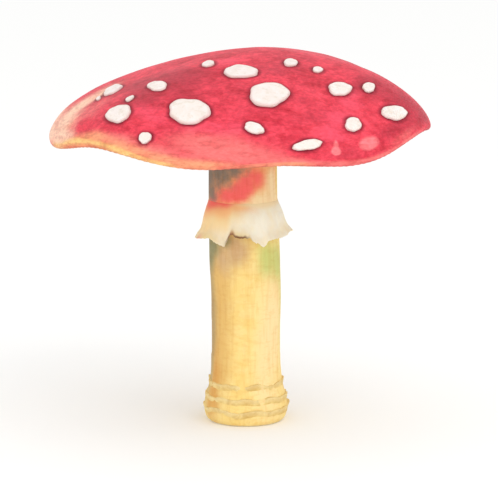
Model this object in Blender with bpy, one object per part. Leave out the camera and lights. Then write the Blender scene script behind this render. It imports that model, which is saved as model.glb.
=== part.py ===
"""Fly agaric mushroom, picked, with its foot trimmed flat so that it stands.

Metres, +Z up. The origin is the centre of the trimmed foot, and -Y is the cap's low, front side.
"""

import math
import random

import bmesh
import bpy
from mathutils import Vector

GAP = 0.0003  # clearance between pieces that touch

# Cap: a dome whose margin waves up and down. Reach is 0 on the cap's axis and 1 at its margin.
CAP_RADIUS = 0.0742
CAP_SHIFT = -0.0023  # the margin sits a little left of the foot
CROWN_SHIFT = 0.0085  # the crown leans to the right of the margin's middle
UNDERSIDE_SHIFT = 0.0011  # the underside is centred on the stem
MARGIN_LEVEL = 0.1154  # mean height of the margin
CROWN_HEIGHT = 0.0318  # crown above the margin
CROWN_SHOULDER = 1.73
CROWN_DOME = 1.56
LIP_RADIUS = 0.0018
LIP_TURN = math.radians(110)
UNDERSIDE_SHARE = 0.57  # height of the flesh's underside over that of the crown
# each wave: lobes round the margin, height, bearing of its crest in degrees
MARGIN_WAVES = (
    (1, 0.0025, 53),
    (2, 0.0013, 29),
    (3, 0.0010, -23),
    (4, 0.0005, -22),
    (5, 0.0005, 32),
    (6, 0.0020, -18),
)
CAP_SEGMENTS = 60
CROWN_ROWS = 16
UNDERSIDE_REACHES = (0.94, 0.90, 0.83, 0.74, 0.63, 0.50, 0.37, 0.25)  # rows shared with the gills

# Gills: radial blades on a thin mat, free of the stem
GILL_COUNT = 48
GILL_DEEPEST_REACH = 0.45
GILL_DEPTH = 0.0095
GILL_ROUNDING = 0.28  # reach over which a blade rounds off towards the stem
GILL_MAT = 0.0010
GILL_CLEARANCE = 0.0005
GILL_SHARE = 0.36  # blade width over the pitch of the blades

# Stem: height, radius. The foot swells, and the top widens into the cap.
STEM_OUTLINE = (
    (0.0000, 0.0142),
    (0.0012, 0.0155),
    (0.0045, 0.0164),
    (0.0090, 0.0160),
    (0.0150, 0.0144),
    (0.0230, 0.0136),
    (0.0400, 0.0135),
    (0.0600, 0.0139),
    (0.0700, 0.0139),
    (0.0860, 0.0135),
    (0.1050, 0.0134),
    (0.1200, 0.0139),
)
STEM_NECK_RADIUS = 0.0150
STEM_NECK_REACH = 0.22
STEM_LEAN = -0.0012  # sideways shift of the stem's upper part
STEM_LEAN_FROM = 0.045
STEM_LEAN_TO = 0.095
STEM_SEGMENTS = 44

# Ring: a thin skirt that hangs from the stem and flares to a torn hem
RING_TOP = 0.0872
# share of the way down from top to hem, radius of the outer face
RING_OUTLINE = (
    (0.00, 0.0144),
    (0.18, 0.0149),
    (0.42, 0.0154),
    (0.65, 0.0161),
    (0.83, 0.0172),
    (1.00, 0.0190),
)
# the hem's height at each bearing in degrees: teeth and the tears between them
RING_HEM = (
    (10, 0.0750),
    (32, 0.0736),
    (50, 0.0752),
    (72, 0.0729),
    (95, 0.0748),
    (118, 0.0733),
    (140, 0.0751),
    (162, 0.0740),
    (184, 0.0729),
    (206, 0.0738),
    (223, 0.0748),
    (236, 0.0732),
    (244, 0.0719),
    (255, 0.0770),
    (264, 0.0756),
    (276, 0.0757),
    (286, 0.0736),
    (294, 0.0720),
    (302, 0.0746),
    (326, 0.0750),
    (348, 0.0765),
)
RING_WALL = 0.0009
RING_SEGMENTS = 60

# Belts of scales round the foot: height, how far they stand out
BELTS = ((0.0050, 0.0014), (0.0098, 0.0013), (0.0150, 0.0011))
BELT_HEIGHT = 0.0026
BELT_SEGMENTS = 36

# Warts: bearing in degrees, reach, length, width, turn in degrees from along the margin towards it
FRONT_WARTS = (
    (192, 0.730, 0.0130, 0.0080, 5),
    (220, 0.785, 0.0050, 0.0030, 48),
    (224, 0.885, 0.0140, 0.0090, 15),
    (240, 0.955, 0.0055, 0.0045, 18),
    (223, 0.665, 0.0125, 0.0060, 22),
    (248, 0.790, 0.0170, 0.0135, 14),
    (227, 0.380, 0.0080, 0.0045, 46),
    (258, 0.430, 0.0140, 0.0100, 13),
    (277, 0.660, 0.0165, 0.0145, 68),
    (299, 0.330, 0.0085, 0.0050, -49),
    (313, 0.450, 0.0055, 0.0035, -20),
    (273, 0.880, 0.0090, 0.0045, 30),
    (290, 0.960, 0.0125, 0.0037, -10),
    (313, 0.650, 0.0115, 0.0075, 0),
    (328, 0.710, 0.0080, 0.0045, -13),
    (308, 0.880, 0.0080, 0.0060, -10),
    (328, 0.905, 0.0150, 0.0060, 16),
    (193, 0.795, 0.0060, 0.0020, 5),
)
# the same for the far side, out to its margin
FAR_WARTS = (
    (90, 0.500, 0.0130, 0.0095, 20),
    (61, 0.600, 0.0100, 0.0070, -15),
    (119, 0.590, 0.0145, 0.0105, 10),
    (37, 0.770, 0.0095, 0.0065, 0),
    (75, 0.740, 0.0115, 0.0085, -20),
    (98, 0.790, 0.0070, 0.0050, 30),
    (136, 0.780, 0.0110, 0.0075, -10),
    (52, 0.900, 0.0080, 0.0055, 12),
    (84, 0.915, 0.0095, 0.0052, -8),
    (111, 0.900, 0.0120, 0.0060, 6),
    (149, 0.910, 0.0085, 0.0055, 18),
    (29, 0.930, 0.0065, 0.0042, -12),
    (127, 0.965, 0.0065, 0.0038, 0),
    (67, 0.965, 0.0060, 0.0035, 5),
)
WART_THICKNESS = 0.0007
WART_THICKNESS_SHARE = 0.035  # of its width, added to the thickness
WART_PLATEAU = 1.5  # above 1 flattens a wart's top
SEED = 7

# colour, roughness
SKIN = ((0.72, 0.06, 0.09), 0.35)
WART_FELT = ((0.90, 0.85, 0.79), 0.85)
GILL_CREAM = ((0.88, 0.82, 0.68), 0.70)
STEM_OCHRE = ((0.80, 0.62, 0.28), 0.70)
RING_CREAM = ((0.90, 0.74, 0.50), 0.75)
BELT_BUFF = ((0.82, 0.68, 0.42), 0.85)


def clear_scene():
    for thing in list(bpy.data.objects):
        bpy.data.objects.remove(thing, do_unlink=True)


def material(name, look):
    colour, roughness = look
    made = bpy.data.materials.new(name)
    made.use_nodes = True
    shader = made.node_tree.nodes["Principled BSDF"]
    shader.inputs["Base Color"].default_value = (*colour, 1)
    shader.inputs["Roughness"].default_value = roughness
    shader.inputs["Metallic"].default_value = 0
    return made


def finish(name, mesh, finish_material, sharp_degrees=50):
    """Turns the bmesh into a smooth-shaded object of that name."""
    data = bpy.data.meshes.new(name)
    mesh.to_mesh(data)
    mesh.free()
    data.shade_smooth()
    data.set_sharp_from_angle(angle=math.radians(sharp_degrees))
    data.materials.append(finish_material)
    piece = bpy.data.objects.new(name, data)
    bpy.context.scene.collection.objects.link(piece)
    return piece


def turned(profile, segments, closed=False):
    """A bmesh of the (radius, height) profile turned all the way round +Z."""
    mesh = bmesh.new()
    points = [mesh.verts.new((radius, 0, height)) for radius, height in profile]
    follow = points[1:] + points[:1] if closed else points[1:]
    edges = [mesh.edges.new(pair) for pair in zip(points, follow)]
    bmesh.ops.spin(
        mesh,
        geom=points + edges,
        cent=(0, 0, 0),
        axis=(0, 0, 1),
        angle=math.tau,
        steps=segments,
        use_merge=True,
    )
    bmesh.ops.remove_doubles(mesh, verts=mesh.verts, dist=1e-6)
    bmesh.ops.recalc_face_normals(mesh, faces=mesh.faces)
    return mesh


def bearing_of(point):
    return math.atan2(point.y, point.x)


def radius_of(point):
    return math.hypot(point.x, point.y)


def margin_rise(bearing):
    return sum(
        height * math.cos(lobes * (bearing - math.radians(crest)))
        for lobes, height, crest in MARGIN_WAVES
    )


def settle(point):
    """Moves a point of a round, level cap to its place on the leaning, wavy one."""
    reach = radius_of(point) / CAP_RADIUS
    floor = underside_rise(reach)
    height_share = (point.z - floor) / (crown_rise(reach) - floor)
    height_share = min(max(height_share, 0), 1)
    lean = UNDERSIDE_SHIFT + (CROWN_SHIFT - UNDERSIDE_SHIFT) * height_share
    shift = CAP_SHIFT + lean * (1 - reach**2)
    rise = margin_rise(bearing_of(point)) * reach**2
    return Vector((point.x + shift, point.y, point.z + MARGIN_LEVEL + rise))


def settle_all(mesh):
    for vert in mesh.verts:
        vert.co = settle(vert.co)


def crown_rise(reach):
    return CROWN_HEIGHT * max(0, 1 - reach**CROWN_SHOULDER) ** (1 / CROWN_DOME)


def underside_rise(reach):
    """Height of the flesh's underside over the margin, flat above the stem."""
    return UNDERSIDE_SHARE * crown_rise(max(reach, STEM_NECK_REACH)) - LIP_RADIUS


def crown_reach(sweep):
    """Reach at a sweep from 0 at the crown to a quarter turn at the margin."""
    return math.sin(sweep) ** (2 / CROWN_SHOULDER)


def crown_point(bearing, sweep):
    reach = crown_reach(sweep)
    radius = CAP_RADIUS * reach
    level = Vector(
        (radius * math.cos(bearing), radius * math.sin(bearing), crown_rise(reach))
    )
    return settle(level)


def make_cap(skin):
    profile = [(0, CROWN_HEIGHT)]
    for row in range(1, CROWN_ROWS + 1):
        reach = crown_reach(math.pi / 2 * row / CROWN_ROWS)
        profile.append((CAP_RADIUS * reach, crown_rise(reach)))
    for turn in (LIP_TURN * share for share in (0.34, 0.67, 1)):
        radius = CAP_RADIUS - LIP_RADIUS + LIP_RADIUS * math.cos(turn)
        profile.append((radius, -LIP_RADIUS * math.sin(turn)))
    for reach in (*UNDERSIDE_REACHES, STEM_NECK_REACH):
        profile.append((CAP_RADIUS * reach, underside_rise(reach)))
    profile.append((0, underside_rise(0)))
    mesh = turned(profile, CAP_SEGMENTS)
    settle_all(mesh)
    return finish("cap", mesh, skin)


def gill_depth(reach):
    """Depth of a blade: deepest at a middle reach, nothing at the margin, rounded at the stem."""
    if reach > GILL_DEEPEST_REACH:
        out = (reach - GILL_DEEPEST_REACH) / (1 - GILL_DEEPEST_REACH)
    else:
        out = (GILL_DEEPEST_REACH - reach) / GILL_ROUNDING
    return GILL_DEPTH * (1 - out**2)


def make_gills(cream):
    top = [
        (CAP_RADIUS * reach - GILL_CLEARANCE, underside_rise(reach) - GILL_CLEARANCE)
        for reach in reversed(UNDERSIDE_REACHES)
    ]
    bottom = [(radius, height - GILL_MAT) for radius, height in reversed(top)]
    mesh = turned(top + bottom, 2 * GILL_COUNT, closed=True)
    pitch = math.tau / GILL_COUNT
    blades = [
        face
        for face in mesh.faces
        if face.normal.z < -0.5
        and bearing_of(face.calc_center_median()) % pitch < pitch / 2
    ]
    grown = bmesh.ops.extrude_face_region(mesh, geom=blades)["geom"]
    for vert in (part for part in grown if isinstance(part, bmesh.types.BMVert)):
        vert.co.z -= gill_depth(radius_of(vert.co) / CAP_RADIUS)
    bmesh.ops.delete(mesh, geom=blades, context="FACES")
    narrow_blades(mesh, pitch)
    settle_all(mesh)
    return finish("gills", mesh, cream)


def narrow_blades(mesh, pitch):
    """Turns the far side of each blade back, so that it fills its share of the pitch."""
    for vert in mesh.verts:
        side = round(bearing_of(vert.co) / (pitch / 2)) % 2
        turn = side * pitch * (GILL_SHARE - 0.5)
        x, y = vert.co.x, vert.co.y
        vert.co.x = x * math.cos(turn) - y * math.sin(turn)
        vert.co.y = x * math.sin(turn) + y * math.cos(turn)


def stem_lean(height):
    share = (height - STEM_LEAN_FROM) / (STEM_LEAN_TO - STEM_LEAN_FROM)
    share = min(max(share, 0), 1)
    return STEM_LEAN * share * share * (3 - 2 * share)


def lean_all(mesh):
    for vert in mesh.verts:
        vert.co.x += stem_lean(vert.co.z)


def stem_radius(height):
    """Radius of the stem, read between the points of its outline."""
    for (low, narrow), (high, wide) in zip(STEM_OUTLINE, STEM_OUTLINE[1:]):
        if height <= high:
            return narrow + (wide - narrow) * (height - low) / (high - low)
    return STEM_OUTLINE[-1][1]


def stem_top():
    """The stem ends just under the lowest point of the cap's flesh above it."""
    radius = CAP_RADIUS * STEM_NECK_REACH
    flesh = (
        Vector((radius * math.cos(b), radius * math.sin(b), underside_rise(0)))
        for b in (math.radians(degrees) for degrees in range(0, 360, 5))
    )
    return min(settle(point).z for point in flesh) - GAP


def make_stem(ochre):
    profile = [(0, 0)] + [(radius, height) for height, radius in STEM_OUTLINE]
    profile += [(STEM_NECK_RADIUS, stem_top()), (0, stem_top())]
    mesh = turned(profile, STEM_SEGMENTS)
    lean_all(mesh)
    return finish("stem", mesh, ochre)


def hem_height(bearing):
    """Height of the ring's hem, eased between its teeth and tears."""
    degrees = math.degrees(bearing) % 360
    before = max((p for p in RING_HEM if p[0] <= degrees), default=RING_HEM[-1])
    after = min((p for p in RING_HEM if p[0] > degrees), default=RING_HEM[0])
    span = (after[0] - before[0]) % 360
    share = (degrees - before[0]) % 360 / span
    share = share * share * (3 - 2 * share)
    return before[1] + (after[1] - before[1]) * share


def make_ring(cream):
    """The ring is turned with each point at minus its share of the drop, then hung to its hem."""
    outer = [(radius, -share) for share, radius in RING_OUTLINE]
    inner = [(radius - RING_WALL, -share) for share, radius in reversed(RING_OUTLINE)]
    inner[-1] = (stem_radius(RING_TOP) + GAP, inner[-1][1])
    outer[0] = (inner[-1][0] + RING_WALL / 2, outer[0][1])
    mesh = turned(outer + inner, RING_SEGMENTS, closed=True)
    for vert in mesh.verts:
        drop = RING_TOP - hem_height(bearing_of(vert.co))
        vert.co.z = RING_TOP + vert.co.z * drop
    lean_all(mesh)
    return finish("ring_skirt", mesh, cream)


def make_belts(buff):
    chance = random.Random(SEED)
    for number, (height, stand_out) in enumerate(BELTS, 1):
        low = height - BELT_HEIGHT / 2
        high = height + BELT_HEIGHT / 2
        profile = [
            (stem_radius(low) + GAP, low),
            (stem_radius(height) + GAP, height),
            (stem_radius(high) + GAP, high),
            (stem_radius(high) + 0.5 * stand_out, high + 0.2 * BELT_HEIGHT),
            (stem_radius(height) + stand_out, height),
            (stem_radius(low) + 0.6 * stand_out, low),
        ]
        mesh = turned(profile, BELT_SEGMENTS, closed=True)
        roughen_belt(mesh, stand_out, chance)
        finish(f"volva_belt_{number}", mesh, buff)


def roughen_belt(mesh, stand_out, chance):
    """Pushes the belt's outer edge in and out, so that it reads as a row of scales."""
    for vert in mesh.verts:
        radius = radius_of(vert.co)
        if radius > stem_radius(vert.co.z) + 2 * GAP:
            push = stand_out * chance.uniform(-0.2, 0.35)
            vert.co.x *= (radius + push) / radius
            vert.co.y *= (radius + push) / radius


def sweep_at(reach):
    return math.asin(reach ** (CROWN_SHOULDER / 2))


def wart_point(spot, unit):
    """Carries a point of the unit sphere to its place on the wart at that spot of the cap."""
    bearing_degrees, reach, length, width, turn_degrees = spot
    bearing = math.radians(bearing_degrees)
    sweep = sweep_at(reach)
    step = 1e-3
    here = crown_point(bearing, sweep)
    sweep_length = (crown_point(bearing, sweep + step) - here).length / step
    turn = math.radians(turn_degrees)
    long_way = -unit.x * length / 2  # around, outward and up make a left-handed set
    short_way = unit.y * width / 2
    around = long_way * math.cos(turn) - short_way * math.sin(turn)
    outward = long_way * math.sin(turn) + short_way * math.cos(turn)
    bearing += around / (CAP_RADIUS * reach)
    sweep += outward / sweep_length
    surface = crown_point(bearing, sweep)
    east = crown_point(bearing + step, sweep) - surface
    south = crown_point(bearing, sweep + step) - surface
    normal = south.cross(east).normalized()
    thickness = WART_THICKNESS + WART_THICKNESS_SHARE * width
    lift = GAP + thickness * min(max(unit.z * WART_PLATEAU, 0), 1)
    return surface + normal * lift


def make_warts(felt):
    for number, spot in enumerate(FRONT_WARTS + FAR_WARTS, 1):
        mesh = bmesh.new()
        bmesh.ops.create_icosphere(mesh, subdivisions=2, radius=1)
        for vert in mesh.verts:
            vert.co = wart_point(spot, vert.co)
        finish(f"wart_{number:02d}", mesh, felt)


def main():
    clear_scene()
    make_cap(material("cap_skin", SKIN))
    make_gills(material("gill_cream", GILL_CREAM))
    make_stem(material("stem_ochre", STEM_OCHRE))
    make_ring(material("ring_cream", RING_CREAM))
    make_belts(material("belt_buff", BELT_BUFF))
    make_warts(material("wart_felt", WART_FELT))


main()
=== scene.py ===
import math
import random

import bmesh
import bpy
import numpy as np
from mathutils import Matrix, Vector, noise
from mathutils.bvhtree import BVHTree


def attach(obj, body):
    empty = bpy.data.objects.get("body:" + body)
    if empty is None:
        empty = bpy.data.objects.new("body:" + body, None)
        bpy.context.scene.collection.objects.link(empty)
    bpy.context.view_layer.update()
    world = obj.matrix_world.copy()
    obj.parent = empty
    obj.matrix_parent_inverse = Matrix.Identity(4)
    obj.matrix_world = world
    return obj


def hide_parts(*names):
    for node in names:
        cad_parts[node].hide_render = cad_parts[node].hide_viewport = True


# Fly agaric mushroom, picked, with its foot trimmed flat.
# Metres, +Z up, -Y the front, the foot's centre at the origin.

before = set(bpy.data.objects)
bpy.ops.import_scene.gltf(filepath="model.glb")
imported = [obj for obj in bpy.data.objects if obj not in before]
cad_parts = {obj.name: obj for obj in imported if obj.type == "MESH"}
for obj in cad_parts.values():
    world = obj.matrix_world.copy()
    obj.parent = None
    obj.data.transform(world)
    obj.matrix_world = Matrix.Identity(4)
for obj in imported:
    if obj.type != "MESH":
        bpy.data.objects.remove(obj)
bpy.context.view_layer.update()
print("frame loaded:", len(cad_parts), "nodes")


# small sums used by every piece

tiny = 1e-6  # less than any gap between points


def smoothStep(value, low, high):
    share = min(max((value - low) / (high - low), 0), 1)
    return share * share * (3 - 2 * share)


def bearingOf(point):
    return math.atan2(point.y, point.x)


def radiusOf(point):
    return math.hypot(point.x, point.y)


def directionOf(bearing):
    return Vector((math.cos(bearing), math.sin(bearing), 0))


def ripples(waves, point):  # waves are (height, fineness) of slow noises laid together
    return sum(height * noise.noise(point * fineness) for height, fineness in waves)


def paint(colour):  # a screen colour, 0 to 255, made linear
    def linear(part):
        part = part / 255
        return part / 12.92 if part < 0.04045 else ((part + 0.055) / 1.055) ** 2.4
    return (*(linear(part) for part in colour), 1)


def readCurve(points, place):  # a smooth curve through (place, value) points
    places = [point[0] for point in points]
    values = [point[1] for point in points]
    if place <= places[0]:
        return values[0]
    if place >= places[-1]:
        return values[-1]
    step = max(number for number, here in enumerate(places) if here <= place)
    slopes = []
    for number in (step, step + 1):
        left = max(number - 1, 0)
        right = min(number + 1, len(points) - 1)
        slopes.append((values[right] - values[left]) / (places[right] - places[left]))
    width = places[step + 1] - places[step]
    share = (place - places[step]) / width
    rise = values[step + 1] - values[step]
    bend = (slopes[0] * width - rise) * (1 - share) + (rise - slopes[1] * width) * share
    return values[step] + share * rise + share * (1 - share) * bend


# making and keeping meshes

def turnProfile(profile, segments, closed=False):  # (radius, height) points turned all the way round
    mesh = bmesh.new()
    points = [mesh.verts.new((radius, 0, height)) for radius, height in profile]
    follow = points[1:] + points[:1] if closed else points[1:]
    edges = [mesh.edges.new(pair) for pair in zip(points, follow)]
    bmesh.ops.spin(mesh, geom=points + edges, cent=(0, 0, 0), axis=(0, 0, 1),
                   angle=math.tau, steps=segments, use_merge=True)
    bmesh.ops.remove_doubles(mesh, verts=mesh.verts, dist=tiny)
    bmesh.ops.recalc_face_normals(mesh, faces=mesh.faces)
    return mesh


def keepPiece(name, mesh, look, nodes, sharpDegrees=60):
    if mesh.calc_volume(signed=True) < 0:  # turned inside out by its making
        bmesh.ops.reverse_faces(mesh, faces=mesh.faces)
    data = bpy.data.meshes.new(name)
    mesh.to_mesh(data)
    mesh.free()
    data.shade_smooth()
    data.set_sharp_from_angle(angle=math.radians(sharpDegrees))
    data.materials.append(look)
    piece = bpy.data.objects.new(name, data)
    bpy.context.scene.collection.objects.link(piece)
    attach(piece, "root")
    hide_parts(*nodes)
    return piece


# a wash is a tint laid in soft patches over the colours beneath it

washEdge = {"scale": 90.0, "fray": 0.7, "softness": 0.42, "cover": 1.0}  # where a wash gives none
patchReach = 3  # a patch is nothing past this many of its own spreads


def layWashes(mesh, washes, placeOf):  # a layer of strength for each wash, from its patches
    for name, wash in washes.items():
        layer = mesh.verts.layers.float.new(name)
        for vert in mesh.verts:
            degrees, along = placeOf(vert.co)
            bare = 1
            for bearing, place, spread, depth, amount in wash["patches"]:
                around = ((degrees - bearing + 180) % 360 - 180) / spread
                down = (along - place) / depth
                if max(abs(around), abs(down)) < patchReach:
                    bare *= 1 - min(amount, 1) * math.exp(-around * around - down * down)
            vert[layer] = 1 - bare


# node helpers

def plug(tree, value, socket):
    if isinstance(value, bpy.types.NodeSocket):
        tree.links.new(value, socket)
    else:
        socket.default_value = value


def addNode(tree, kind, inputs=None, **settings):
    node = tree.nodes.new(kind)
    for field, value in settings.items():
        setattr(node, field, value)
    for name, value in (inputs or {}).items():
        plug(tree, value, node.inputs[name])
    return node


def mixColour(tree, share, first, second, way="MIX"):
    node = addNode(tree, "ShaderNodeMix", data_type="RGBA", blend_type=way, clamp_factor=True)
    for value, index in ((share, 0), (first, 6), (second, 7)):
        plug(tree, value, node.inputs[index])
    return node.outputs[2]


def addMath(tree, way, first, second, third=None, clamp=False):  # a sum worked out in nodes
    node = addNode(tree, "ShaderNodeMath", operation=way, use_clamp=clamp)
    for value, socket in zip((first, second, third), node.inputs):
        if value is not None:
            plug(tree, value, socket)
    return node.outputs[0]


def mapRange(tree, value, low, high, start=0.0, end=1.0):
    inputs = {"Value": value, "From Min": low, "From Max": high, "To Min": start, "To Max": end}
    return addNode(tree, "ShaderNodeMapRange", inputs, interpolation_type="SMOOTHSTEP").outputs[0]


def readLayer(tree, name):
    return addNode(tree, "ShaderNodeAttribute", attribute_name=name).outputs["Fac"]


def newGroup(name, inputs, outputs):
    tree = bpy.data.node_groups.new(name, "ShaderNodeTree")
    for socket, kind in inputs:
        tree.interface.new_socket(socket, in_out="INPUT", socket_type=kind)
    for socket, kind in outputs:
        tree.interface.new_socket(socket, in_out="OUTPUT", socket_type=kind)
    given, out = tree.nodes.new("NodeGroupInput"), tree.nodes.new("NodeGroupOutput")
    return tree, given.outputs, out.inputs


# how each mask of the mottle is made: its fineness, its noise, and the span of it that is kept
mottleMasks = {
    "Blotch": {"finer": 1.0, "detail": 5.0, "roughness": 0.62, "distortion": 0.6, "span": (0.32, 0.68)},
    "Streak": {"finer": 1.7, "detail": 6.0, "roughness": 0.6, "distortion": 0.0, "span": (0.34, 0.66)},
    "Grain": {"finer": 22.0, "detail": 3.0, "roughness": 0.5, "distortion": 0.0, "span": (0.3, 0.7)},
}


def makeMottleGroup():  # cloudy blotches, level streaks and fine grain, each 0 to 1
    floats = [(name, "NodeSocketFloat") for name in ("Scale", "Stretch")]
    masks = [(name, "NodeSocketFloat") for name in mottleMasks]
    tree, given, out = newGroup("paintMottle", [("Vector", "NodeSocketVector"), *floats], masks)
    stretch = addNode(tree, "ShaderNodeCombineXYZ", {"X": 1.0, "Y": 1.0, "Z": given["Stretch"]})
    level = addNode(tree, "ShaderNodeVectorMath", {0: given["Vector"], 1: stretch.outputs[0]},
                    operation="MULTIPLY")
    for name, mask in mottleMasks.items():
        cloud = addNode(tree, "ShaderNodeTexNoise", {
            "Vector": level.outputs[0] if name == "Streak" else given["Vector"],
            "Scale": addMath(tree, "MULTIPLY", given["Scale"], mask["finer"]),
            "Detail": mask["detail"], "Roughness": mask["roughness"], "Distortion": mask["distortion"]})
        tree.links.new(mapRange(tree, cloud.outputs[0], *mask["span"]), out[name])
    return tree


def makeWashGroup():  # a wash's strength made a mask with a frayed, clouded edge
    floats = [(name, "NodeSocketFloat") for name in ("Strength", "Scale", "Fray", "Softness")]
    masks = [("Mask", "NodeSocketFloat")]
    tree, given, out = newGroup("washMask", [("Vector", "NodeSocketVector"), *floats], masks)
    cloud = addNode(tree, "ShaderNodeTexNoise", {
        "Vector": given["Vector"], "Scale": given["Scale"], "Detail": 4.0, "Roughness": 0.6})
    sway = addMath(tree, "SUBTRACT", cloud.outputs[0], 0.5)
    present = addMath(tree, "MULTIPLY", given["Strength"], 4.0, clamp=True)
    fray = addMath(tree, "MULTIPLY", given["Fray"], present)  # nothing frays where there is no wash
    frayed = addMath(tree, "MULTIPLY_ADD", sway, fray, given["Strength"])
    low = addMath(tree, "SUBTRACT", 0.5, given["Softness"])
    high = addMath(tree, "ADD", 0.5, given["Softness"])
    tree.links.new(mapRange(tree, frayed, low, high), out["Mask"])
    return tree


mottleGroup = makeMottleGroup()
washGroup = makeWashGroup()


def maskOf(tree, value, low, high, amount):  # what lies between two values, at some strength
    return addMath(tree, "MULTIPLY", mapRange(tree, value, low, high), amount)


def startLook(name, piece):  # the shader keeps what is the same all over on its own sockets
    look = bpy.data.materials.new(name)
    look.use_nodes = True
    tree = look.node_tree
    shader = tree.nodes["Principled BSDF"]
    for socket, value in piece["shader"].items():
        shader.inputs[socket].default_value = value
    colours = {tint: paint(colour) for tint, colour in piece["colours"].items()}
    return look, tree, shader, colours, addNode(tree, "ShaderNodeTexCoord").outputs["Object"]


def addMottle(tree, place, scale, stretch):
    node = addNode(tree, "ShaderNodeGroup", node_tree=mottleGroup)
    for name, value in (("Vector", place), ("Scale", scale), ("Stretch", stretch)):
        plug(tree, value, node.inputs[name])
    return node.outputs


def washOver(tree, colour, washes, place):  # each wash in turn over the colours beneath it
    for name, wash in washes.items():
        wash = washEdge | wash
        node = addNode(tree, "ShaderNodeGroup", node_tree=washGroup)
        parts = {"Vector": place, "Strength": readLayer(tree, name), "Scale": wash["scale"],
                 "Fray": wash["fray"], "Softness": wash["softness"]}
        for socket, value in parts.items():
            plug(tree, value, node.inputs[socket])
        share = addMath(tree, "MULTIPLY", node.outputs["Mask"], wash["cover"])
        colour = mixColour(tree, share, colour, paint(wash["colour"]))
    return colour


def endLook(tree, shader, colour, height, distance, strength):  # the colour and the bump plugged in
    tree.links.new(colour, shader.inputs["Base Color"])
    inputs = {"Height": height, "Distance": distance, "Strength": strength}
    tree.links.new(addNode(tree, "ShaderNodeBump", inputs).outputs[0], shader.inputs["Normal"])


# cap: a leaning dome with a wavy margin
# Reach is 0 on its axis and 1 at the margin; sweep runs from 0 to 1 likewise, evenly over the skin.

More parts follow.
